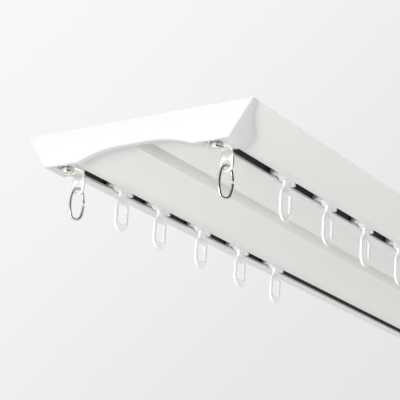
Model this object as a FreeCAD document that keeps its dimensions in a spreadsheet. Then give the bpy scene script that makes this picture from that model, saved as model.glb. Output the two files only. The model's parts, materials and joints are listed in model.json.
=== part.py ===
import FreeCAD, Part
import Sketcher
import math
import os

# Two-channel ceiling curtain track, in millimetres.
# X runs across the track, Y along it, Z up. The origin is the middle of the face that meets the ceiling.

DIMENSIONS = (
    # Rail, an aluminium extrusion
    ("track_length", 600.0, "overall length over both end caps"),
    ("rail_top_width", 119.0, "width of the rail at the ceiling"),
    ("rail_height", 14.2, "ceiling to the bottom of the rail"),
    ("bevel_run", 11.5, "how far each side leans in between the ceiling and the bottom"),
    ("skin", 1.3, "wall of the extrusion"),
    ("flange_width", 7.5, "flange that lies on the ceiling along each side"),
    ("slot_inset", 8.5, "bottom corner of the rail to the middle of the nearer slot"),
    ("slot_width", 6.0, "slot that the glider necks run in"),
    ("channel_width", 12.4, "inside width of a runner channel"),
    ("channel_height", 7.6, "inside height of a runner channel"),
    ("arch_margin", 0.5, "flat beside a channel before the panel starts to rise"),
    ("arch_rise", 4.4, "rise of the middle panel above the rail's bottom"),
    ("arch_toe_radius", 8.0, "radius where the panel starts to rise"),
    ("crown_width", 16.0, "flat middle of the panel"),
    ("groove_width", 9.3, "central groove for the ceiling screws"),
    ("web", 1.5, "web at the top of the central groove"),
    ("fixing_hole", 4.5, "hole for a ceiling screw"),
    ("fixing_spacing", 400.0, "distance between the ceiling screws"),
    # End caps, moulded
    ("cap_depth", 15.0, "length of a cap's skirts along the rail"),
    ("cap_wall", 2.0, "front wall of a cap"),
    ("cap_proud", 0.5, "how far a cap stands out at the rail's top and bottom corners"),
    ("cap_drop", 1.7, "how far a cap reaches below the rail"),
    ("cap_rim", 4.0, "depth of the cap's arched rim"),
    ("cap_bevel", 0.6, "bevel of the cap's front edges"),
    ("skirt_top", 4.5, "depth of a skirt at the ceiling"),
    ("skirt_shoulder", 1.2, "drop before a skirt starts to widen"),
    ("skirt_sweep", 17.0, "radius of a skirt's swept edge"),
    ("skirt_sweep_drop", 9.9, "ceiling to the end of the swept edge"),
    ("skirt_nose", 1.0, "length of a skirt beyond the swept edge"),
    ("skirt_nose_drop", 12.4, "ceiling to the deepest point of a skirt"),
    ("skirt_nose_radius", 3.6, "radius between the swept edge and the deepest point"),
    ("skirt_draft", 0.8, "how far the edge leans back below the deepest point"),
    ("tongue_height", 4.4, "height of the tongue that holds a cap in the rail"),
    ("tongue_length", 12.0, "length of that tongue"),
    ("cap_fit", 0.2, "clearance between a cap and the rail"),
    # End stops, bent sheet steel with a clamp screw and an oval ring
    ("sheet", 1.1, "thickness of a stop bracket"),
    ("plate_width", 7.0, "width of the bracket's plate"),
    ("tab_width", 5.2, "width of the bracket's tab at the bend"),
    ("tab_eye", 6.7, "width of the tab's round end"),
    ("tab_straight", 3.4, "straight sides of the tab's round end, above its hole"),
    ("tab_flare", 2.4, "height over which the tab widens to its round end"),
    ("tab_reach", 15.0, "cap's face to the back of the tab"),
    ("tab_eye_drop", 8.1, "rail's bottom to the middle of the tab's hole"),
    ("tab_hole", 4.4, "hole that the ring hangs in"),
    ("bend_radius", 0.3, "inside radius of the bracket's bend"),
    ("screw_setback", 5.9, "cap's face to the clamp screw"),
    ("screw_shank", 3.0, "clamp screw's diameter"),
    ("screw_head", 6.2, "clamp screw's head diameter"),
    ("head_height", 2.9, "clamp screw's head height"),
    ("recess_length", 3.6, "cross recess, end to end"),
    ("recess_width", 0.9, "cross recess, width of an arm"),
    ("recess_depth", 1.1, "cross recess, depth"),
    ("screw_fit", 0.1, "clearance around the screw's shank"),
    ("nut_length", 7.0, "clamp nut along the channel"),
    ("nut_height", 3.0, "clamp nut's thickness"),
    ("nut_fit", 0.5, "clearance of the clamp nut at each side of its channel"),
    ("ring_height", 15.8, "oval ring, outside height"),
    ("ring_width", 7.6, "oval ring, outside width"),
    ("ring_wire", 1.3, "oval ring, thickness of its flattened wire"),
    ("ring_end_radius", 2.3, "oval ring, radius of the ends on the wire's middle"),
    ("ring_split", 0.4, "gap where the ring's ends meet"),
    ("ring_turn", 58.0, "turn of the ring's plane out of the tab's plane, degrees"),
    ("ring_seat", 1.3, "how far the top of the ring's opening stays above the edge of the tab's hole"),
    # Gliders, moulded
    ("eye_width", 9.8, "glider's eye, outside width"),
    ("eye_height", 16.4, "glider's eye, outside height"),
    ("eye_hole_width", 6.2, "hole in the eye, width"),
    ("eye_hole_height", 9.6, "hole in the eye, height"),
    ("eye_hole_corner", 1.5, "hole in the eye, radius of its corners"),
    ("eye_thickness", 1.5, "thickness of the eye and neck"),
    ("neck_length", 2.3, "rail's bottom to the top of the eye"),
    ("neck_top_width", 5.6, "width of the neck where it leaves the head"),
    ("neck_foot_width", 7.2, "width of the neck where it runs into the eye"),
    ("neck_hollow", 0.8, "depth of the hollow in each side of the neck"),
    ("guide_fit", 0.4, "clearance between the head's guide and each side of the slot"),
    ("guide_recess", 0.2, "how far the guide stays above the rail's bottom"),
    ("guide_nose", 2.6, "width left at the ends of the guide by its cut corners"),
    ("guide_cut", 6.0, "length of those cuts, which let the glider turn into the slot"),
    ("runner_length", 16.0, "glider's head along the channel"),
    ("runner_width", 10.4, "glider's head across the channel"),
    ("runner_height", 3.6, "glider's head, height"),
    ("runner_slope", 2.0, "slope of the head's ends"),
    ("runner_gap", 0.3, "gap between the head and the channel's lips"),
)

# Rest places of the gliders, from the near cap's face to the middle of each, in the order they hang.
GLIDER_PLACES = {
    "left": (47.7, 78.8, 115.2, 152.1, 188.3),
    "right": (63.9, 103.0, 140.9, 178.4, 215.4),
}

# The ends of the track and the side of each channel, seen from the near end.
ENDS = {"near": -1, "far": 1}
SIDES = {"left": -1, "right": 1}

# Points closer than this count as one place.
SAME_PLACE = 1e-5

doc = FreeCAD.newDocument("curtain_track")
sheet = doc.addObject("Spreadsheet::Sheet", "dims")


def fill_sheet():
    rows = list(DIMENSIONS)
    for side, places in GLIDER_PLACES.items():
        for number, place in enumerate(places, 1):
            rows.append((glider_place(side, number), place, "cap's face to the middle of this glider"))
    for row, (alias, value, meaning) in enumerate(rows, 1):
        sheet.set(f"A{row}", alias)
        sheet.set(f"B{row}", str(value))
        sheet.set(f"C{row}", meaning)
        sheet.setAlias(f"B{row}", alias)
    doc.recompute()


def glider_place(side, number):
    return f"glider_place_{side}_{number}"


# Levels and places that several pieces share, as expressions on the sheet.
RAIL_BOTTOM = "-dims.rail_height"
LIP_TOP = "(dims.skin - dims.rail_height)"
CHANNEL_CEILING = f"({LIP_TOP} + dims.channel_height)"
CHANNEL_TOP = f"({CHANNEL_CEILING} + dims.skin)"
PANEL_BOTTOM = "(dims.arch_rise - dims.rail_height)"
TOP_X = "(dims.rail_top_width / 2)"
BOTTOM_X = f"({TOP_X} - dims.bevel_run)"
BEVEL_SLOPE = "(dims.bevel_run / dims.rail_height)"
BEVEL_SKIN_X = f"(dims.skin * sqrt(1 + {BEVEL_SLOPE}^2))"
SLOT_X = f"({BOTTOM_X} - dims.slot_inset)"
CHANNEL_INNER = f"({SLOT_X} - dims.channel_width / 2)"
CHANNEL_OUTER = f"({SLOT_X} + dims.channel_width / 2)"
CHANNEL_INNER_WALL = f"({CHANNEL_INNER} - dims.skin)"
CHANNEL_OUTER_WALL = f"({CHANNEL_OUTER} + dims.skin)"
ARCH_FOOT = f"({CHANNEL_INNER_WALL} - dims.arch_margin)"
CROWN_X = "(dims.crown_width / 2)"
ARCH_RUN = f"({ARCH_FOOT} - {CROWN_X})"
ARCH_CHORD = f"({ARCH_RUN}^2 + dims.arch_rise^2)"
CAP_BOTTOM = "(-dims.rail_height - dims.cap_drop)"
PLATE_BOTTOM = "(-dims.rail_height - dims.sheet)"
TAB_EYE_Z = "(-dims.rail_height - dims.tab_eye_drop)"
TAB_FRONT = "(dims.tab_reach - dims.sheet)"
RUNNER_BOTTOM = f"({LIP_TOP} + dims.runner_gap)"
GUIDE_BOTTOM = f"({RAIL_BOTTOM} + dims.guide_recess)"
EYE_MIDDLE = f"({RAIL_BOTTOM} - dims.neck_length - dims.eye_height / 2)"


def bevel_inside(level):
    """Inside of the rail's bevelled wall at a level."""
    return f"({TOP_X} - {BEVEL_SKIN_X} + {BEVEL_SLOPE} * ({level}))"


def arch_curve(lift="0", toe_change="0", side=1):
    """Points from the arch's foot to its crown: two arcs that run into each other, level at both ends."""
    toe = f"(dims.arch_toe_radius - ({toe_change}))"
    upper = f"({ARCH_CHORD} / (2 * dims.arch_rise) - {toe})"
    middle_x = f"({ARCH_FOOT} - {toe} * 2 * {ARCH_RUN} * dims.arch_rise / {ARCH_CHORD})"
    middle_z = f"({RAIL_BOTTOM} + ({lift}) + {toe} * 2 * dims.arch_rise^2 / {ARCH_CHORD})"
    sign = "" if side > 0 else "-"
    return [
        (sign + ARCH_FOOT, f"{RAIL_BOTTOM} + ({lift})", toe, -side),
        (sign + middle_x, middle_z, upper, side),
        (sign + CROWN_X, f"{PANEL_BOTTOM} + ({lift})"),
    ]


def turned_back(points):
    """The same curve run from its last point to its first."""
    back = []
    for index in range(len(points) - 1, -1, -1):
        arc = points[index - 1][2:] if index else ()
        back.append(points[index][:2] + ((arc[0], -arc[1]) if arc else ()))
    return back


def half_round(u, v, radius, upward):
    """Half circle about (u, v), anticlockwise: the upper half from the right, or the lower from the left."""
    side = "" if upward > 0 else "-"
    other = "-" if upward > 0 else ""
    return [
        (f"{u} + {side}({radius})", v, radius, 1),
        (u, f"{v} + {side}({radius})", radius, 1),
        (f"{u} + {other}({radius})", v),
    ]


def rounded_box(width, height, corner, middle):
    """Upright rectangle with round corners, anticlockwise from the lower end of its right side."""
    side, flat = f"({width} / 2)", f"({width} / 2 - {corner})"
    low, high = f"({middle} - {height} / 2)", f"({middle} + {height} / 2)"
    return [
        (side, f"{low} + {corner}"),
        (side, f"{high} - {corner}", corner, 1),
        (flat, high),
        ("-" + flat, high, corner, 1),
        ("-" + side, f"{high} - {corner}"),
        ("-" + side, f"{low} + {corner}", corner, 1),
        ("-" + flat, low),
        (flat, low, corner, 1),
    ]


def oval(half_w, half_h, end_r):
    """Oval of four arcs that run into each other, anticlockwise from the right of its top."""
    rise = f"({half_h} - {end_r})"
    side_r = f"(({half_w}^2 + {rise}^2 - {end_r}^2) / (2 * ({half_w} - {end_r})))"
    meet_u = f"({end_r} * ({side_r} - {half_w}) / ({side_r} - {end_r}))"
    meet_v = f"({rise} + {end_r} * {rise} / ({side_r} - {end_r}))"
    return [
        (meet_u, meet_v, end_r, 1),
        ("-" + meet_u, meet_v, side_r, 1),
        ("-" + meet_u, "-" + meet_v, end_r, 1),
        (meet_u, "-" + meet_v, side_r, 1),
    ]


def new_body(label):
    body = doc.addObject("PartDesign::Body", label)
    body.Label = label
    return body


def new_sketch(body, name, role, level=None):
    """An empty sketch on one of the body's own planes, or at a level above that plane."""
    plane = next(feature for feature in body.Origin.OriginFeatures if feature.Role == role)
    sketch = body.newObject("Sketcher::SketchObject", name)
    sketch.AttachmentSupport = (plane, "")
    sketch.MapMode = "FlatFace"
    if level:
        sketch.setExpression("AttachmentOffset.Base.z", level)
    return sketch


def arc_between(start, end, radius, turn):
    """Arc of a radius from start to end, anticlockwise for a turn of 1 and clockwise for -1."""
    chord = end - start
    half = chord.Length / 2
    rise = math.sqrt(max(radius * radius - half * half, 0))
    normal = FreeCAD.Vector(-chord.y, chord.x, 0).normalize()
    centre = start + chord / 2 + normal * rise * turn
    first, last = (start, end) if turn > 0 else (end, start)
    angles = [math.atan2(point.y - centre.y, point.x - centre.x) for point in (first, last)]
    circle = Part.Circle(centre, FreeCAD.Vector(0, 0, 1), radius)
    return Part.ArcOfCircle(circle, *angles)


def place_of(sketch, u, v):
    return FreeCAD.Vector(float(sketch.evalExpression(u)), float(sketch.evalExpression(v)), 0)


def draw(sketch, points):
    """Closed outline of expressions: points (u, v), or (u, v, radius, turn) where an arc leaves a point."""
    places = [place_of(sketch, *point[:2]) for point in points]
    first = sketch.GeometryCount
    ends = []
    for index, point in enumerate(points):
        start, end = places[index], places[(index + 1) % len(points)]
        if len(point) == 2:
            sketch.addGeometry(Part.LineSegment(start, end), False)
            ends.append((1, 2))
        else:
            radius, turn = float(sketch.evalExpression(point[2])), point[3]
            sketch.addGeometry(arc_between(start, end, radius, turn), False)
            ends.append((1, 2) if turn > 0 else (2, 1))
    for index, point in enumerate(points):
        following = (index + 1) % len(points)
        sketch.addConstraint(Sketcher.Constraint(
            "Coincident", first + index, ends[index][1], first + following, ends[following][0]))
        hold(sketch, first + index, ends[index][0], point, places[index])
        if len(point) == 4:
            radius = float(sketch.evalExpression(point[2]))
            bind(sketch, Sketcher.Constraint("Radius", first + index, radius), point[2])
    return sketch


def draw_circle(sketch, u, v, radius):
    place = place_of(sketch, u, v)
    size = float(sketch.evalExpression(radius))
    curve = sketch.addGeometry(Part.Circle(place, FreeCAD.Vector(0, 0, 1), size), False)
    hold(sketch, curve, 3, (u, v), place)
    bind(sketch, Sketcher.Constraint("Radius", curve, size), radius)
    return sketch


def hold(sketch, curve, end, point, place):
    """Tie one end of a curve, or a circle's middle, to its two expressions."""
    for kind, text, value in (("DistanceX", point[0], place.x), ("DistanceY", point[1], place.y)):
        bind(sketch, Sketcher.Constraint(kind, -1, 1, curve, end, value), text)


def bind(sketch, constraint, text):
    number = sketch.addConstraint(constraint)
    sketch.setExpression(f"Constraints[{number}]", text)


def extrude(body, kind, name, sketch, length=None, reverse=False, both=False):
    """Pad or pocket of a sketch: a length, or through everything where none is given."""
    feature = body.newObject("PartDesign::" + kind, name)
    feature.Profile = sketch
    if length:
        feature.setExpression("Length", length)
    else:
        feature.Type = "ThroughAll"
    feature.Reversed = reverse
    if both:
        feature.SideType = "Symmetric"
    doc.recompute()
    return feature


def edges_where(feature, test):
    """Names of the edges whose every vertex passes a test."""
    names = []
    for number, edge in enumerate(feature.Shape.Edges, 1):
        if all(test(vertex.Point) for vertex in edge.Vertexes):
            names.append(f"Edge{number}")
    return names


def dress(body, kind, name, base, edges, size_property, size):
    feature = body.newObject("PartDesign::" + kind, name)
    feature.Base = (base, edges)
    feature.setExpression(size_property, size)
    doc.recompute()
    return feature


def value(text):
    return float(sheet.evalExpression(text))


def near(a, b):
    return abs(a - b) < SAME_PLACE


def place_body(body, x="0", y="0", z="0", turn="0"):
    body.Placement = FreeCAD.Placement(
        FreeCAD.Vector(value(x), value(y), value(z)),
        FreeCAD.Rotation(FreeCAD.Vector(0, 0, 1), value(turn)))
    for axis, text in (("x", x), ("y", y), ("z", z)):
        body.setExpression("Placement.Base." + axis, text)
    if turn != "0":
        body.setExpression("Placement.Rotation.Angle", turn)


def place_at_end(body, end, side=0, y="0", z="0", turn="0"):
    """Set a piece that is drawn from a cap's face, at one end of the track and over one channel."""
    direction = ENDS[end]
    x = f"{side} * {SLOT_X}"
    along = f"{direction} * (dims.track_length / 2 - ({y}))"
    half_turn = "180" if direction > 0 else "0"
    place_body(body, x, along, z, half_turn if turn == "0" else f"{turn} + {half_turn}")


# Rail: half of the section is drawn and mirrored, then the ceiling screws' holes are cut.
def make_rail():
    body = new_body("rail")
    groove_x = "(dims.groove_width / 2)"
    slot_inner = f"({SLOT_X} - dims.slot_width / 2)"
    slot_outer = f"({SLOT_X} + dims.slot_width / 2)"
    chamber_floor = f"(({CHANNEL_OUTER_WALL} - {TOP_X} + {BEVEL_SKIN_X}) / {BEVEL_SLOPE})"
    underside = turned_back(arch_curve())
    upper_side = arch_curve(lift="dims.skin", toe_change="dims.skin")
    section = [
        ("0", "0"),
        ("0", "-dims.web"),
        (groove_x, "-dims.web"),
        (groove_x, PANEL_BOTTOM),
        *underside,
        (slot_inner, RAIL_BOTTOM),
        (slot_inner, LIP_TOP),
        (CHANNEL_INNER, LIP_TOP),
        (CHANNEL_INNER, CHANNEL_CEILING),
        (CHANNEL_OUTER, CHANNEL_CEILING),
        (CHANNEL_OUTER, LIP_TOP),
        (slot_outer, LIP_TOP),
        (slot_outer, RAIL_BOTTOM),
        (BOTTOM_X, RAIL_BOTTOM),
        (TOP_X, "0"),
        (f"{TOP_X} - dims.flange_width", "0"),
        (f"{TOP_X} - dims.flange_width", "-dims.skin"),
        (bevel_inside("-dims.skin"), "-dims.skin"),
        (CHANNEL_OUTER_WALL, chamber_floor),
        (CHANNEL_OUTER_WALL, CHANNEL_TOP),
        (CHANNEL_INNER_WALL, CHANNEL_TOP),
        (CHANNEL_INNER_WALL, LIP_TOP),
        *upper_side,
        (f"{groove_x} + dims.skin", f"{PANEL_BOTTOM} + dims.skin"),
        (f"{groove_x} + dims.skin", "0"),
    ]
    sketch = draw(new_sketch(body, "rail_section", "XZ_Plane"), section)
    length = "dims.track_length - 2 * (dims.cap_wall + dims.cap_fit)"
    half = extrude(body, "Pad", "half_rail", sketch, length, both=True)
    whole = body.newObject("PartDesign::Mirrored", "whole_rail")
    whole.Originals = [half]
    plane = next(feature for feature in body.Origin.OriginFeatures if feature.Role == "YZ_Plane")
    whole.MirrorPlane = (plane, [""])
    body.Tip = whole
    doc.recompute()
    holes = new_sketch(body, "fixing_holes", "XY_Plane")
    for sign in ("-", ""):
        draw_circle(holes, "0", f"{sign}dims.fixing_spacing / 2", "dims.fixing_hole / 2")
    extrude(body, "Pocket", "fixing_hole_cut", holes)
    return body


# End cap: a moulded cup with swept skirts, an arched rim, and two tongues that push into the rail.
def make_cap(end):
    body = new_body(f"{end}_end_cap")
    top_x = f"({TOP_X} + dims.cap_proud)"
    bottom_x = f"({BOTTOM_X} + dims.cap_proud)"
    drop = "-dims.cap_drop"
    face = [
        ("-" + top_x, "0"),
        ("-" + bottom_x, CAP_BOTTOM),
        *arch_curve(drop, side=-1),
        *turned_back(arch_curve(drop)),
        (bottom_x, CAP_BOTTOM),
        (top_x, "0"),
    ]
    face_sketch = draw(new_sketch(body, "cap_face", "XZ_Plane"), face)
    block = extrude(body, "Pad", "cap_block", face_sketch, "dims.cap_depth", reverse=True)

    front = edges_where(block, lambda point: near(point.y, 0))
    ceiling_edge = edges_where(block, lambda point: near(point.y, 0) and near(point.z, 0))
    bevelled = sorted(set(front) - set(ceiling_edge))
    dress(body, "Chamfer", "front_bevel", block, bevelled, "Size", "dims.cap_bevel")

    # Seat for the rail, cut from behind
    clear = "-dims.cap_fit"
    above = "dims.skin"
    seat_top = f"({TOP_X} + dims.cap_fit + {BEVEL_SLOPE} * {above})"
    seat_bottom = f"({BOTTOM_X} + dims.cap_fit - {BEVEL_SLOPE} * dims.cap_fit)"
    seat = [
        ("-" + seat_top, above),
        ("-" + seat_bottom, f"{RAIL_BOTTOM} - dims.cap_fit"),
        *arch_curve(clear, side=-1),
        *turned_back(arch_curve(clear)),
        (seat_bottom, f"{RAIL_BOTTOM} - dims.cap_fit"),
        (seat_top, above),
    ]
    seat_sketch = draw(new_sketch(body, "rail_seat", "XZ_Plane", "-dims.cap_depth"), seat)
    extrude(body, "Pocket", "rail_seat_cut", seat_sketch, "dims.cap_depth - dims.cap_wall", reverse=True)

    # Swept rear edge of the skirts, cut across the whole cap
    beyond = "dims.cap_depth + dims.cap_wall"
    below = f"{CAP_BOTTOM} - dims.cap_drop"
    sweep = [
        ("dims.skirt_top", above),
        ("dims.skirt_top", "-dims.skirt_shoulder", "dims.skirt_sweep", 1),
        ("dims.cap_depth - dims.skirt_nose", "-dims.skirt_sweep_drop", "dims.skirt_nose_radius", -1),
        ("dims.cap_depth", "-dims.skirt_nose_drop"),
        ("dims.cap_depth - dims.skirt_draft", below),
        (beyond, below),
        (beyond, above),
    ]
    sweep_sketch = draw(new_sketch(body, "skirt_edge", "YZ_Plane"), sweep)
    extrude(body, "Pocket", "skirt_edge_cut", sweep_sketch, both=True)

    # The rim stays short between the skirts, and is left open where an end stop's plate lies
    notch_half = "(dims.plate_width / 2 + dims.cap_fit)"
    rim_x = f"({SLOT_X} + {notch_half})"
    rim = [("-" + rim_x, "dims.cap_rim"), (rim_x, "dims.cap_rim"), (rim_x, beyond), ("-" + rim_x, beyond)]
    openings = new_sketch(body, "rim_openings", "XY_Plane")
    draw(openings, rim)
    extrude(body, "Pocket", "rim_cut", openings)
    notches = new_sketch(body, "stop_notches", "XY_Plane")
    for sign in ("-", ""):
        inner = f"{sign}({SLOT_X} - {notch_half})"
        outer = f"{sign}({SLOT_X} + {notch_half})"
        draw(notches, [(inner, "dims.cap_wall"), (outer, "dims.cap_wall"), (outer, beyond), (inner, beyond)])
    extrude(body, "Pocket", "stop_notch_cut", notches)

    # Tongues beside the channels, under the rail's flanges
    tongue_top = "(-dims.skin - dims.cap_fit)"
    tongue_foot = f"({tongue_top} - dims.tongue_height)"
    tongue_inner = f"({CHANNEL_OUTER_WALL} + dims.cap_fit)"
    tongue_outer = f"({bevel_inside(tongue_foot)} - dims.cap_fit)"
    tongues = new_sketch(body, "tongue_section", "XZ_Plane", "-dims.cap_wall / 2")
    for sign in ("-", ""):
        draw(tongues, [
            (sign + tongue_inner, tongue_top),
            (sign + tongue_outer, tongue_top),
            (sign + tongue_outer, tongue_foot),
            (sign + tongue_inner, tongue_foot),
        ])
    extrude(body, "Pad", "tongues", tongues, "dims.tongue_length", reverse=True)
    place_at_end(body, end)
    return body


# End stop's bracket: a plate with a round front end, bent down into a tab that widens to a round end.
def make_bracket(end, side):
    body = new_body(f"{end}_{side}_stop_bracket")
    bend_inner, bend_outer = "dims.bend_radius", "(dims.bend_radius + dims.sheet)"
    bend_y = f"({TAB_FRONT} - {bend_inner})"
    bend_z = f"({PLATE_BOTTOM} - {bend_inner})"
    strip = [
        (bend_y, RAIL_BOTTOM, bend_outer, -1),
        ("dims.tab_reach", bend_z),
        ("dims.tab_reach", TAB_EYE_Z),
        (TAB_FRONT, TAB_EYE_Z),
        (TAB_FRONT, bend_z, bend_inner, 1),
        (bend_y, PLATE_BOTTOM),
        ("dims.screw_setback", PLATE_BOTTOM),
        ("dims.screw_setback", RAIL_BOTTOM),
    ]
    strip_sketch = draw(new_sketch(body, "bent_strip", "YZ_Plane"), strip)
    extrude(body, "Pad", "strip", strip_sketch, "dims.tab_width", both=True)

    half = "dims.plate_width / 2"
    plate = [
        *half_round("0", "dims.screw_setback", half, -1),
        (half, bend_y),
        ("-" + half, bend_y),
    ]
    plate_sketch = draw(new_sketch(body, "plate_outline", "XY_Plane", PLATE_BOTTOM), plate)
    extrude(body, "Pad", "plate", plate_sketch, "dims.sheet")
    tab_end = new_sketch(body, "tab_end", "XZ_Plane", "-" + TAB_FRONT)
    shoulder = f"({TAB_EYE_Z} + dims.tab_straight)"
    draw(tab_end, [
        *half_round("0", TAB_EYE_Z, "dims.tab_eye / 2", -1),
        ("dims.tab_eye / 2", shoulder),
        ("dims.tab_width / 2", f"{shoulder} + dims.tab_flare"),
        ("-dims.tab_width / 2", f"{shoulder} + dims.tab_flare"),
        ("-dims.tab_eye / 2", shoulder),
    ])
    extrude(body, "Pad", "tab_round", tab_end, "dims.sheet", reverse=True)

    screw_hole = new_sketch(body, "screw_hole", "XY_Plane", RAIL_BOTTOM)
    draw_circle(screw_hole, "0", "dims.screw_setback", "dims.screw_shank / 2 + dims.screw_fit")
    extrude(body, "Pocket", "screw_hole_cut", screw_hole, "2 * dims.sheet")
    eye = new_sketch(body, "ring_hole", "XZ_Plane", "-" + TAB_FRONT)
    draw_circle(eye, "0", TAB_EYE_Z, "dims.tab_hole / 2")
    extrude(body, "Pocket", "ring_hole_cut", eye, both=True)
    place_at_end(body, end, SIDES[side])
    return body


# Clamp screw: cheese head below the plate with a cross recess, shank up through the plate into the nut.
def make_screw(end, side):
    body = new_body(f"{end}_{side}_stop_screw")
    shank_r, head_r = "dims.screw_shank / 2", "dims.screw_head / 2"
    shank_top = f"({LIP_TOP} + dims.nut_height)"
    head_face = f"({PLATE_BOTTOM} - dims.head_height)"
    section = [
        ("0", shank_top),
        ("0", head_face),
        (head_r, head_face),
        (head_r, PLATE_BOTTOM),
        (shank_r, PLATE_BOTTOM),
        (shank_r, shank_top),
    ]
    sketch = draw(new_sketch(body, "screw_section", "XZ_Plane"), section)
    turned = body.newObject("PartDesign::Revolution", "turned_screw")
    turned.Profile = sketch
    turned.ReferenceAxis = (sketch, ["V_Axis"])
    turned.Angle = 360
    doc.recompute()
    arm, half = "dims.recess_length / 2", "dims.recess_width / 2"
    cross = [(half, arm), (half, half), (arm, half), (arm, "-" + half), (half, "-" + half), (half, "-" + arm),
             ("-" + half, "-" + arm), ("-" + half, "-" + half), ("-" + arm, "-" + half), ("-" + arm, half),
             ("-" + half, half), ("-" + half, arm)]
    recess = draw(new_sketch(body, "cross_recess", "XY_Plane", head_face), cross)
    extrude(body, "Pocket", "cross_recess_cut", recess, "dims.recess_depth", reverse=True)
    place_at_end(body, end, SIDES[side], y="dims.screw_setback")
    return body


# Clamp nut: a block on the channel's lips, with the screw's hole.
def make_nut(end, side):
    body = new_body(f"{end}_{side}_stop_nut")
    half_x, half_y = "(dims.channel_width / 2 - dims.nut_fit)", "dims.nut_length / 2"
    block = [("-" + half_x, "-" + half_y), (half_x, "-" + half_y), (half_x, half_y), ("-" + half_x, half_y)]
    outline = new_sketch(body, "nut_outline", "XY_Plane", LIP_TOP)
    draw(outline, block)
    draw_circle(outline, "0", "0", "dims.screw_shank / 2 + dims.screw_fit / 2")
    extrude(body, "Pad", "nut", outline, "dims.nut_height")
    place_at_end(body, end, SIDES[side], y="dims.screw_setback")
    return body


# Oval split ring: flattened wire bent into four arcs, hanging in the tab's hole.
def make_ring(end, side):
    body = new_body(f"{end}_{side}_stop_ring")
    half_w, half_h = "(dims.ring_width / 2)", "(dims.ring_height / 2)"
    wire = "dims.ring_wire"
    ovals = new_sketch(body, "ring_outline", "XZ_Plane")
    draw(ovals, oval(half_w, half_h, f"(dims.ring_end_radius + {wire} / 2)"))
    draw(ovals, oval(f"({half_w} - {wire})", f"({half_h} - {wire})", f"(dims.ring_end_radius - {wire} / 2)"))
    extrude(body, "Pad", "flat_ring", ovals, wire, both=True)
    gap = "dims.ring_split / 2"
    split = [("0", "-" + gap), (f"2 * {half_w}", "-" + gap), (f"2 * {half_w}", gap), ("0", gap)]
    split_sketch = draw(new_sketch(body, "split", "XZ_Plane"), split)
    extrude(body, "Pocket", "split_cut", split_sketch, both=True)
    wire_top = f"({TAB_EYE_Z} - dims.tab_hole / 2 + dims.ring_seat + {wire})"
    place_at_end(body, end, SIDES[side], y=f"{TAB_FRONT} + dims.sheet / 2",
                 z=f"{wire_top} - {half_h}", turn="dims.ring_turn")
    return body


# Glider: a head that rides on the channel's lips, a guide in the slot, a waisted neck and a flat eye.
def make_glider(side, number):
    body = new_body(f"{side}_glider_{number}")
    eye_sketch = new_sketch(body, "eye_outline", "YZ_Plane")
    eye_straight = "((dims.eye_height - dims.eye_width) / 2)"
    eye_round_low, eye_round_high = f"({EYE_MIDDLE} - {eye_straight})", f"({EYE_MIDDLE} + {eye_straight})"
    draw(eye_sketch, [
        *half_round("0", eye_round_low, "dims.eye_width / 2", -1),
        *half_round("0", eye_round_high, "dims.eye_width / 2", 1),
    ])
    hole = rounded_box("dims.eye_hole_width", "dims.eye_hole_height", "dims.eye_hole_corner", EYE_MIDDLE)
    draw(eye_sketch, hole)
    extrude(body, "Pad", "eye", eye_sketch, "dims.eye_thickness", both=True)

    # Neck, with a hollow arc in each side, from the guide to the round top of the eye
    top, foot = "dims.neck_top_width / 2", "dims.neck_foot_width / 2"
    foot_z = f"({eye_round_high} + sqrt((dims.eye_width / 2)^2 - ({foot})^2))"
    chord = f"(({foot} - {top})^2 + ({GUIDE_BOTTOM} - {foot_z})^2)"
    hollow = f"(({chord} / 4 + dims.neck_hollow^2) / (2 * dims.neck_hollow))"
    neck_top = f"({GUIDE_BOTTOM} + dims.skin / 2)"
    neck = [
        (foot, foot_z, hollow, -1),
        (top, GUIDE_BOTTOM),
        (top, neck_top),
        ("-" + top, neck_top),
        ("-" + top, GUIDE_BOTTOM, hollow, -1),
        ("-" + foot, foot_z),
    ]
    neck_sketch = draw(new_sketch(body, "neck_outline", "YZ_Plane"), neck)
    extrude(body, "Pad", "neck", neck_sketch, "dims.eye_thickness", both=True)

    # Guide, with two opposite corners cut
    half_length = "dims.runner_length / 2"
    cut_start = f"({half_length} - dims.guide_cut)"
    slot_side = "(dims.slot_width / 2 - dims.guide_fit)"
    nose = f"({slot_side} - dims.guide_nose)"
    guide = [
        (slot_side, "-" + half_length),
        (slot_side, cut_start),
        ("-" + nose, half_length),
        ("-" + slot_side, half_length),
        ("-" + slot_side, "-" + cut_start),
        (nose, "-" + half_length),
    ]
    guide_sketch = draw(new_sketch(body, "guide_outline", "XY_Plane", GUIDE_BOTTOM), guide)
    extrude(body, "Pad", "guide", guide_sketch, f"{RUNNER_BOTTOM} - {GUIDE_BOTTOM}")

    crown = f"({half_length} - dims.runner_slope)"
    runner_top = f"({RUNNER_BOTTOM} + dims.runner_height)"
    head = [
        ("-" + half_length, RUNNER_BOTTOM),
        (half_length, RUNNER_BOTTOM),
        (crown, runner_top),
        ("-" + crown, runner_top),
    ]
    head_sketch = draw(new_sketch(body, "head_outline", "YZ_Plane"), head)
    extrude(body, "Pad", "head", head_sketch, "dims.runner_width", both=True)
    place = f"dims.{glider_place(side, number)} - dims.track_length / 2"
    place_body(body, f"{SIDES[side]} * {SLOT_X}", place)
    return body


def make_all():
    bodies = [make_rail()]
    for end in ENDS:
        bodies.append(make_cap(end))
        for side in SIDES:
            bodies += [make(end, side) for make in (make_bracket, make_screw, make_nut, make_ring)]
    for side, places in GLIDER_PLACES.items():
        bodies += [make_glider(side, number) for number in range(1, len(places) + 1)]
    return bodies


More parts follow.
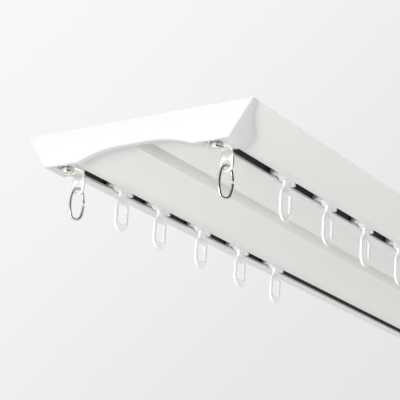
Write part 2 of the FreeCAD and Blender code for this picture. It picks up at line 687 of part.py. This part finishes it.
def check_and_export(bodies):
    doc.recompute()
    for item in doc.Objects:
        if "Invalid" in item.State or "Error" in item.State:
            raise RuntimeError(f"{item.Label} did not build: {item.State}")
    for body in bodies:
        shape = body.Shape
        if shape.isNull() or not shape.isValid() or not shape.Solids:
            raise RuntimeError(f"{body.Label} has no valid solid")
    os.makedirs("parts", exist_ok=True)
    for body in bodies:
        body.Shape.exportStep(f"parts/{body.Label}.step")


fill_sheet()
check_and_export(make_all())
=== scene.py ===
import json
import math
import bmesh
import bpy
from mathutils import Matrix, Vector

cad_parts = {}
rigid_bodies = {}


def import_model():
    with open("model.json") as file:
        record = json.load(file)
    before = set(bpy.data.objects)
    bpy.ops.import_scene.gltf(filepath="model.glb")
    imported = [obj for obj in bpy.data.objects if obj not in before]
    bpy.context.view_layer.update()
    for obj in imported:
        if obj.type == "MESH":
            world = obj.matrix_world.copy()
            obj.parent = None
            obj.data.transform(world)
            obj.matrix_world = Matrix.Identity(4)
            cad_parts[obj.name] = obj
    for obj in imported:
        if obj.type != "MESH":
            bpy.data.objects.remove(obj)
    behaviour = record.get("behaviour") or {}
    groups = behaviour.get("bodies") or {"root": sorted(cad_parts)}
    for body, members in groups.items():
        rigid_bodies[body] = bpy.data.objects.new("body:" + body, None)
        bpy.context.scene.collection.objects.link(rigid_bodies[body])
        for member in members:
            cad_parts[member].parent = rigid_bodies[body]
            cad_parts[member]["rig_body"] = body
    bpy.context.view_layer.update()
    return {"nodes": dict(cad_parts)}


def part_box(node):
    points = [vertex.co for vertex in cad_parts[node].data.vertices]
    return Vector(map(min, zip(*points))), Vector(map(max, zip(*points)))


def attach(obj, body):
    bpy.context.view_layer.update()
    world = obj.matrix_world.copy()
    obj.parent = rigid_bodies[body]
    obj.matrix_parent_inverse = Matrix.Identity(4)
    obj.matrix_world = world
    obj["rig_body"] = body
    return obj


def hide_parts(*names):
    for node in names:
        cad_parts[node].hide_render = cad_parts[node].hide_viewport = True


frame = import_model()

MM = 0.001
WHITE = (1.0, 1.0, 1.0)

# Camera, solved from the photograph: turns in degrees, place in mm, focal length in pixels of the frame
FRAME_PIXELS = 400
SENSOR_WIDTH = 36.0
FOCAL_PIXELS = 1488.9
CAMERA_YAW = 34.5
CAMERA_PITCH = 17.96
CAMERA_ROLL = -3.82
CAMERA_PLACE = (365.5, -777.9, -229.9)

# Softening of the solids' edges, as width in mm and segments
EDGES = {
    "rail": (0.2, 2),
    "end_cap": (0.14, 2),
    "bracket": (0.04, 2),
    "screw": (0.3, 3),
    "ring": (0.5, 4),
    "glider": (0.25, 3),
}

# Turn in degrees from which an edge is softened, turn up to which two faces are one, and weld distance in mm
SHARP_ANGLE = 32.0
FLAT_ANGLE = 0.4
WELD = 0.001

# Places taken from the frame, in mm: the ceiling is at 0
RAIL_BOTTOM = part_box("rail")[0][2] / MM
CHANNEL_X = sum(corner[0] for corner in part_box("right_glider_1")) / 2 / MM

# Inside of the runner channels, which are coloured dark as painted shade, in mm from their middle and above
# the rail's bottom
CHANNEL_HALF = 6.4
CHANNEL_FLOOR = 1.2
CHANNEL_ROOF = 9.0

# Inside of the central groove, whose coat is whitened as painted light, in mm from its middle and below the
# ceiling
GROOVE_HALF = 4.9
GROOVE_ROOF = 1.4

# Gliders, in mm: the head starts just above the rail's bottom, and the eye clears between two levels below it
HEAD_START = 0.1
MILKY_DROP = 2.3
CLEAR_DROP = 5.8

# Alpha of the eye at those two levels
MILKY_ALPHA = 0.9
CLEAR_ALPHA = 0.3

# Share of a normal along X from which a face of the eye is flat, and the reach of light in the head in mm
FLAT_FACE = 0.2
SCATTER = 4.0

# Floor, with its level and size in metres
FLOOR_LEVEL = -2.5
FLOOR_SIZE = 400.0
FLOOR_COLOUR = (0.86, 0.86, 0.86)
FLOOR_ROUGHNESS = 0.8
FLOOR_GLOW = 0.4

# World: light on the part, the backdrop from upper left to lower right, and what gloss sees left and right
WORLD_STRENGTH = 0.52
BACKDROP_LEVELS = (0.935, 0.795)
REFLECTED_LEVELS = (1.0, 0.08)

# Directions between which that reflected level falls, as the share that points to the camera's right
REFLECTED_SPAN = (-0.5, 0.15)

# Disc lamps, in metres and watts: only those that shine are seen in gloss
LAMPS = {
    "front_lamp": {
        "place": (0.1, -2.9, -0.5), "target": (0.0, -0.3, -0.01), "size": 1.6, "power": 62.0, "shines": True,
    },
    "side_lamp": {
        "place": (2.2, 0.9, -0.6), "target": (0.0, 0.0, -0.01), "size": 1.6, "power": 10.5, "shines": False,
    },
    "back_lamp": {
        "place": (0.6, 2.8, -0.5), "target": (0.0, 0.3, -0.01), "size": 1.6, "power": 18.0, "shines": False,
    },
    "top_lamp": {
        "place": (0.3, 0.3, 2.6), "target": (0.0, 0.0, 0.0), "size": 2.0, "power": 32.0, "shines": True,
    },
}


# Parts of a material
def new_material(name):
    material = bpy.data.materials.new(name)
    material.use_nodes = True
    return material, material.node_tree, material.node_tree.nodes["Principled BSDF"]


def add_noise(tree, grain, detail=3.0, squeeze=(1, 1, 1)):
    """Noise in the object's own space: so many grains in a metre, and finer along a squeezed axis."""
    place = tree.nodes.new("ShaderNodeTexCoord")
    mapping = tree.nodes.new("ShaderNodeMapping")
    mapping.inputs["Scale"].default_value = squeeze
    noise = tree.nodes.new("ShaderNodeTexNoise")
    noise.inputs["Scale"].default_value = grain
    noise.inputs["Detail"].default_value = detail
    tree.links.new(place.outputs["Object"], mapping.inputs["Vector"])
    tree.links.new(mapping.outputs["Vector"], noise.inputs["Vector"])
    return noise.outputs["Fac"]


def vary_colour(tree, shader, low, high, **pattern):
    """Base colour that wanders between two tones."""
    ramp = tree.nodes.new("ShaderNodeValToRGB")
    for stop, tone in zip(ramp.color_ramp.elements, (low, high)):
        stop.color = (*tone, 1)
    tree.links.new(add_noise(tree, **pattern), ramp.inputs["Fac"])
    tree.links.new(ramp.outputs["Color"], shader.inputs["Base Color"])


def vary_roughness(tree, shader, low, high, **pattern):
    """Roughness that wanders between two values."""
    span = tree.nodes.new("ShaderNodeMapRange")
    span.inputs["To Min"].default_value = low
    span.inputs["To Max"].default_value = high
    tree.links.new(add_noise(tree, **pattern), span.inputs["Value"])
    tree.links.new(span.outputs["Result"], shader.inputs["Roughness"])


def add_bump(tree, shader, depth, strength, **pattern):
    """Fine relief, with its depth in mm."""
    bump = tree.nodes.new("ShaderNodeBump")
    bump.inputs["Distance"].default_value = depth * MM
    bump.inputs["Strength"].default_value = strength
    tree.links.new(add_noise(tree, **pattern), bump.inputs["Height"])
    tree.links.new(bump.outputs["Normal"], shader.inputs["Normal"])


def clear_downwards(tree, shader):
    """Alpha that falls from the milky level of an eye to the clear one."""
    place = tree.nodes.new("ShaderNodeTexCoord")
    level = tree.nodes.new("ShaderNodeSeparateXYZ")
    clearing = tree.nodes.new("ShaderNodeMapRange")
    clearing.inputs["From Min"].default_value = (RAIL_BOTTOM - MILKY_DROP) * MM
    clearing.inputs["From Max"].default_value = (RAIL_BOTTOM - CLEAR_DROP) * MM
    clearing.inputs["To Min"].default_value = MILKY_ALPHA
    clearing.inputs["To Max"].default_value = CLEAR_ALPHA
    tree.links.new(place.outputs["Object"], level.inputs["Vector"])
    tree.links.new(level.outputs["Z"], clearing.inputs["Value"])
    tree.links.new(clearing.outputs["Result"], shader.inputs["Alpha"])


# Materials
def rail_paint():
    """Satin white powder coat, with a fine orange peel."""
    material, tree, shader = new_material("satin_white_paint")
    vary_colour(tree, shader, low=(0.775, 0.77, 0.75), high=(0.80, 0.795, 0.775), grain=14.0)
    vary_roughness(tree, shader, low=0.42, high=0.52, grain=60.0)
    add_bump(tree, shader, depth=0.04, strength=0.25, grain=900.0, detail=1.0)
    return material


def painted_light_groove_paint():
    """The same coat painted whiter in the groove: painted light that lifts the groove's shade."""
    material, tree, shader = new_material("painted_light_groove_coat")
    vary_colour(tree, shader, low=(0.855, 0.85, 0.825), high=(0.88, 0.875, 0.85), grain=14.0)
    vary_roughness(tree, shader, low=0.42, high=0.52, grain=60.0)
    return material


def painted_shade_channel():
    """Inside of the runner channels coloured dark grey: painted shade for the dark of the deep channels."""
    material, tree, shader = new_material("painted_shade_channel_inside")
    vary_colour(tree, shader, low=(0.16, 0.16, 0.155), high=(0.2, 0.198, 0.192), grain=80.0)
    shader.inputs["Roughness"].default_value = 0.5
    return material


def cap_plastic():
    """White moulded plastic, faintly cool and finely textured."""
    material, tree, shader = new_material("white_moulded_plastic")
    vary_colour(tree, shader, low=(0.735, 0.74, 0.75), high=(0.755, 0.76, 0.77), grain=20.0)
    vary_roughness(tree, shader, low=0.38, high=0.48, grain=200.0)
    add_bump(tree, shader, depth=0.03, strength=0.2, grain=2500.0, detail=2.0)
    return material


def polished_nickel():
    """Nickel plate with faint wiping marks: the rings, screws and nuts."""
    material, tree, shader = new_material("polished_nickel")
    shader.inputs["Metallic"].default_value = 1.0
    vary_colour(tree, shader, low=(0.68, 0.66, 0.63), high=(0.76, 0.74, 0.71), grain=300.0)
    vary_roughness(tree, shader, low=0.08, high=0.2, grain=500.0, detail=4.0, squeeze=(1, 1, 6))
    add_bump(tree, shader, depth=0.05, strength=0.2, grain=900.0, detail=2.0)
    return material


def satin_nickel():
    """Duller plate of the bent brackets, brushed along the strip."""
    material, tree, shader = new_material("satin_nickel")
    shader.inputs["Metallic"].default_value = 1.0
    vary_colour(tree, shader, low=(0.86, 0.85, 0.83), high=(0.92, 0.91, 0.89), grain=300.0)
    vary_roughness(tree, shader, low=0.36, high=0.46, grain=700.0, detail=4.0, squeeze=(6, 1, 1))
    add_bump(tree, shader, depth=0.03, strength=0.15, grain=1500.0, detail=2.0, squeeze=(6, 1, 1))
    return material


def clear_plastic():
    """Clear flat faces of a glider's eye, milky towards the neck where the moulding is thicker."""
    material, tree, shader = new_material("clear_plastic")
    vary_colour(tree, shader, low=(0.90, 0.902, 0.915), high=(0.94, 0.942, 0.955), grain=200.0)
    vary_roughness(tree, shader, low=0.12, high=0.2, grain=400.0)
    clear_downwards(tree, shader)
    return material


def frosted_plastic():
    """Frosted edges of a glider's eye, which catch the light."""
    material, tree, shader = new_material("frosted_plastic")
    vary_colour(tree, shader, low=(0.90, 0.902, 0.91), high=(0.95, 0.952, 0.96), grain=200.0)
    vary_roughness(tree, shader, low=0.3, high=0.42, grain=400.0)
    return material


def milky_plastic():
    """The same moulding where it is thick and scatters light: a glider's head."""
    material, tree, shader = new_material("milky_plastic")
    vary_colour(tree, shader, low=(0.93, 0.93, 0.945), high=(0.96, 0.96, 0.975), grain=200.0)
    vary_roughness(tree, shader, low=0.25, high=0.35, grain=400.0)
    shader.inputs["Subsurface Weight"].default_value = 1.0
    shader.inputs["Subsurface Radius"].default_value = WHITE
    shader.inputs["Subsurface Scale"].default_value = SCATTER * MM
    return material


# Pieces: solids copied with their edges softened, as the real ones' are
def softened(node, kind, material):
    solid = frame["nodes"][node]
    piece = bpy.data.objects.new(node + "_soft", merged_mesh(solid, node + "_soft"))
    piece.data.materials.append(material)
    bpy.context.scene.collection.objects.link(piece)
    bevel_edges(piece, *EDGES[kind])
    piece.data.polygons.foreach_set("use_smooth", [True] * len(piece.data.polygons))
    piece.data.set_sharp_from_angle(angle=math.radians(SHARP_ANGLE))
    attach(piece, solid["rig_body"])
    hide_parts(node)
    return piece


def merged_mesh(solid, name):
    """Copy of a solid's mesh without materials, its triangles merged where they lie in one plane."""
    mesh = bpy.data.meshes.new(name)
    shape = bmesh.new()
    shape.from_mesh(solid.data)
    bmesh.ops.remove_doubles(shape, verts=shape.verts, dist=WELD * MM)
    flat = math.radians(FLAT_ANGLE)
    bmesh.ops.dissolve_limit(shape, angle_limit=flat, verts=shape.verts, edges=shape.edges)
    shape.to_mesh(mesh)
    shape.free()
    mesh.materials.clear()
    return mesh


def bevel_edges(piece, width, segments):
    bevel = piece.modifiers.new("edges", "BEVEL")
    bevel.width = width * MM
    bevel.segments = segments
    bevel.limit_method = "ANGLE"
    bevel.angle_limit = math.radians(SHARP_ANGLE)
    bevel.use_clamp_overlap = False
    bpy.context.view_layer.update()
    graph = bpy.context.evaluated_depsgraph_get()
    mesh = bpy.data.meshes.new_from_object(piece.evaluated_get(graph))
    piece.modifiers.clear()
    piece.data = mesh


def add_finish(piece, material):
    """Number of a new material slot on a piece."""
    piece.data.materials.append(material)
    return len(piece.data.materials) - 1


def finish_rail(rail, channel, groove):
    """The insides of the runner channels take a dark painted shade, and the groove a whiter coat of painted
    light.
    """
    painted_shade_slot = add_finish(rail, channel)
    painted_light_slot = add_finish(rail, groove)
    for face in rail.data.polygons:
        if in_channel(face):
            face.material_index = painted_shade_slot
        elif in_groove(face):
            face.material_index = painted_light_slot


def in_channel(face):
    """Whether a face of the rail lies in a runner channel and looks towards its middle: these faces take the
    painted shade.
    """
    middle = face.center / MM
    across = middle.x - math.copysign(CHANNEL_X, middle.x)
    height = middle.z - RAIL_BOTTOM
    upward = height - (CHANNEL_FLOOR + CHANNEL_ROOF) / 2
    looks_in = face.normal.x * across + face.normal.z * upward <= 0
    return abs(across) < CHANNEL_HALF and CHANNEL_FLOOR < height < CHANNEL_ROOF and looks_in


# Faces of the central groove, which take the whiter coat of painted light
def in_groove(face):
    middle = face.center / MM
    return abs(middle.x) < GROOVE_HALF and middle.z < -GROOVE_ROOF


def finish_glider(glider, edge, head):
    """The edges of a glider's eye and its head take finishes of their own."""
    edge_slot = add_finish(glider, edge)
    head_slot = add_finish(glider, head)
    for face in glider.data.polygons:
        if face.center.z / MM > RAIL_BOTTOM + HEAD_START:
            face.material_index = head_slot
        elif abs(face.normal.x) < FLAT_FACE:
            face.material_index = edge_slot


def dress():
    """Every solid gets its finish: the nuts as they are, and the rest as softened copies."""
    finishes = {
        "rail": rail_paint(),
        "end_cap": cap_plastic(),
        "bracket": satin_nickel(),
        "screw": polished_nickel(),
        "glider": clear_plastic(),
    }
    finishes["ring"] = finishes["nut"] = finishes["screw"]
    # The channels' dark grey is painted shade, and the groove's whiter coat is painted light
    channel, groove, edge, head = painted_shade_channel(), painted_light_groove_paint(), frosted_plastic(), milky_plastic()
    for node in sorted(frame["nodes"]):
        kind = next(name for name in finishes if name in node)
        if kind not in EDGES:
            solid = frame["nodes"][node]
            solid.data.materials.clear()
            solid.data.materials.append(finishes[kind])
            continue
        piece = softened(node, kind, finishes[kind])
        if kind == "rail":
            finish_rail(piece, channel, groove)
        if kind == "glider":
            finish_glider(piece, edge, head)


# Studio
def make_floor():
    """Wide pale floor, a room's height below, that looks brighter than the lamps make it."""
    half = FLOOR_SIZE / 2
    outline = ((-half, -half), (half, -half), (half, half), (-half, half))
    mesh = bpy.data.meshes.new("floor")
    mesh.from_pydata([(x, y, FLOOR_LEVEL) for x, y in outline], [], [range(len(outline))])
    floor = bpy.data.objects.new("floor", mesh)
    bpy.context.scene.collection.objects.link(floor)
    material, tree, shader = new_material("pale_floor")
    shader.inputs["Base Color"].default_value = (*FLOOR_COLOUR, 1)
    shader.inputs["Roughness"].default_value = FLOOR_ROUGHNESS
    shader.inputs["Emission Color"].default_value = (*WHITE, 1)
    seen = seen_by(tree, "Is Camera Ray", "Is Transmission Ray", "Is Glossy Ray")
    tree.links.new(mix_values(tree, seen, 0.0, FLOOR_GLOW), shader.inputs["Emission Strength"])
    mesh.materials.append(material)


def make_world(right, down):
    """Even light, a backdrop that fades across the picture, and reflections that are bright on the left."""
    world = bpy.data.worlds.new("studio")
    bpy.context.scene.world = world
    world.use_nodes = True
    tree = world.node_tree
    reach = math.sqrt(2) * FRAME_PIXELS / 2 / FOCAL_PIXELS
    backdrop = fade_along(tree, (right + down).normalized(), (-reach, reach), BACKDROP_LEVELS)
    reflected = fade_along(tree, right, REFLECTED_SPAN, REFLECTED_LEVELS)
    shown = mix_values(tree, seen_by(tree, "Is Camera Ray", "Is Transmission Ray"), WORLD_STRENGTH, backdrop)
    strength = mix_values(tree, seen_by(tree, "Is Glossy Ray"), shown, reflected)
    background = tree.nodes["Background"]
    background.inputs["Color"].default_value = (*WHITE, 1)
    tree.links.new(strength, background.inputs["Strength"])


def fade_along(tree, direction, span, levels):
    """A level that changes with how far a ray points along a direction."""
    place = tree.nodes.new("ShaderNodeTexCoord")
    along = tree.nodes.new("ShaderNodeVectorMath")
    along.operation = "DOT_PRODUCT"
    along.inputs[1].default_value = direction
    tree.links.new(place.outputs["Generated"], along.inputs[0])
    level = tree.nodes.new("ShaderNodeMapRange")
    level.interpolation_type = "SMOOTHSTEP"
    level.inputs["From Min"].default_value, level.inputs["From Max"].default_value = span
    level.inputs["To Min"].default_value, level.inputs["To Max"].default_value = levels
    tree.links.new(along.outputs["Value"], level.inputs["Value"])
    return level.outputs["Result"]


def seen_by(tree, *kinds):
    """1 for a ray of one of these kinds, and 0 for any other."""
    path = tree.nodes.new("ShaderNodeLightPath")
    seen = path.outputs[kinds[0]]
    for kind in kinds[1:]:
        seen = larger(tree, seen, path.outputs[kind])
    return seen


def larger(tree, first, second):
    node = tree.nodes.new("ShaderNodeMath")
    node.operation = "MAXIMUM"
    for socket, value in zip(node.inputs, (first, second)):
        tree.links.new(value, socket)
    return node.outputs["Value"]


def mix_values(tree, factor, first, second):
    """The first value where the factor is 0 and the second where it is 1, as numbers or sockets."""
    mix = tree.nodes.new("ShaderNodeMix")
    mix.data_type = "FLOAT"
    tree.links.new(factor, mix.inputs["Factor"])
    for socket, value in zip((mix.inputs["A"], mix.inputs["B"]), (first, second)):
        if isinstance(value, bpy.types.NodeSocket):
            tree.links.new(value, socket)
        else:
            socket.default_value = value
    return mix.outputs["Result"]


def make_lamp(name, place, target, size, power, shines):
    """Disc lamp that the camera does not see."""
    data = bpy.data.lights.new(name, "AREA")
    data.shape = "DISK"
    data.size = size
    data.energy = power
    lamp = bpy.data.objects.new(name, data)
    lamp.location = place
    lamp.rotation_euler = (Vector(target) - Vector(place)).to_track_quat("-Z", "Y").to_euler()
    lamp.visible_camera = False
    lamp.visible_glossy = shines
    bpy.context.scene.collection.objects.link(lamp)


def camera_axes():
    """Right, down and forward of the photograph's camera."""
    yaw, pitch, roll = (math.radians(turn) for turn in (CAMERA_YAW, CAMERA_PITCH, CAMERA_ROLL))
    forward = Vector((-math.sin(yaw) * math.cos(pitch), math.cos(yaw) * math.cos(pitch), math.sin(pitch)))
    level = Vector((math.cos(yaw), math.sin(yaw), 0))
    below = forward.cross(level)
    right = math.cos(roll) * level + math.sin(roll) * below
    down = math.cos(roll) * below - math.sin(roll) * level
    return right, down, forward


def make_camera(right, down, forward):
    data = bpy.data.cameras.new("camera")
    data.sensor_width = SENSOR_WIDTH
    data.lens = SENSOR_WIDTH * FOCAL_PIXELS / FRAME_PIXELS
    camera = bpy.data.objects.new("camera", data)
    turned = Matrix((right, -down, -forward)).transposed().to_4x4()
    camera.matrix_world = Matrix.Translation(Vector(CAMERA_PLACE) * MM) @ turned
    bpy.context.scene.collection.objects.link(camera)
    bpy.context.scene.camera = camera


dress()
make_floor()
for name, settings in LAMPS.items():
    make_lamp(name, **settings)
camera_right, camera_down, camera_forward = camera_axes()
make_world(camera_right, camera_down)
make_camera(camera_right, camera_down, camera_forward)
bpy.context.scene.view_settings.view_transform = "Standard"
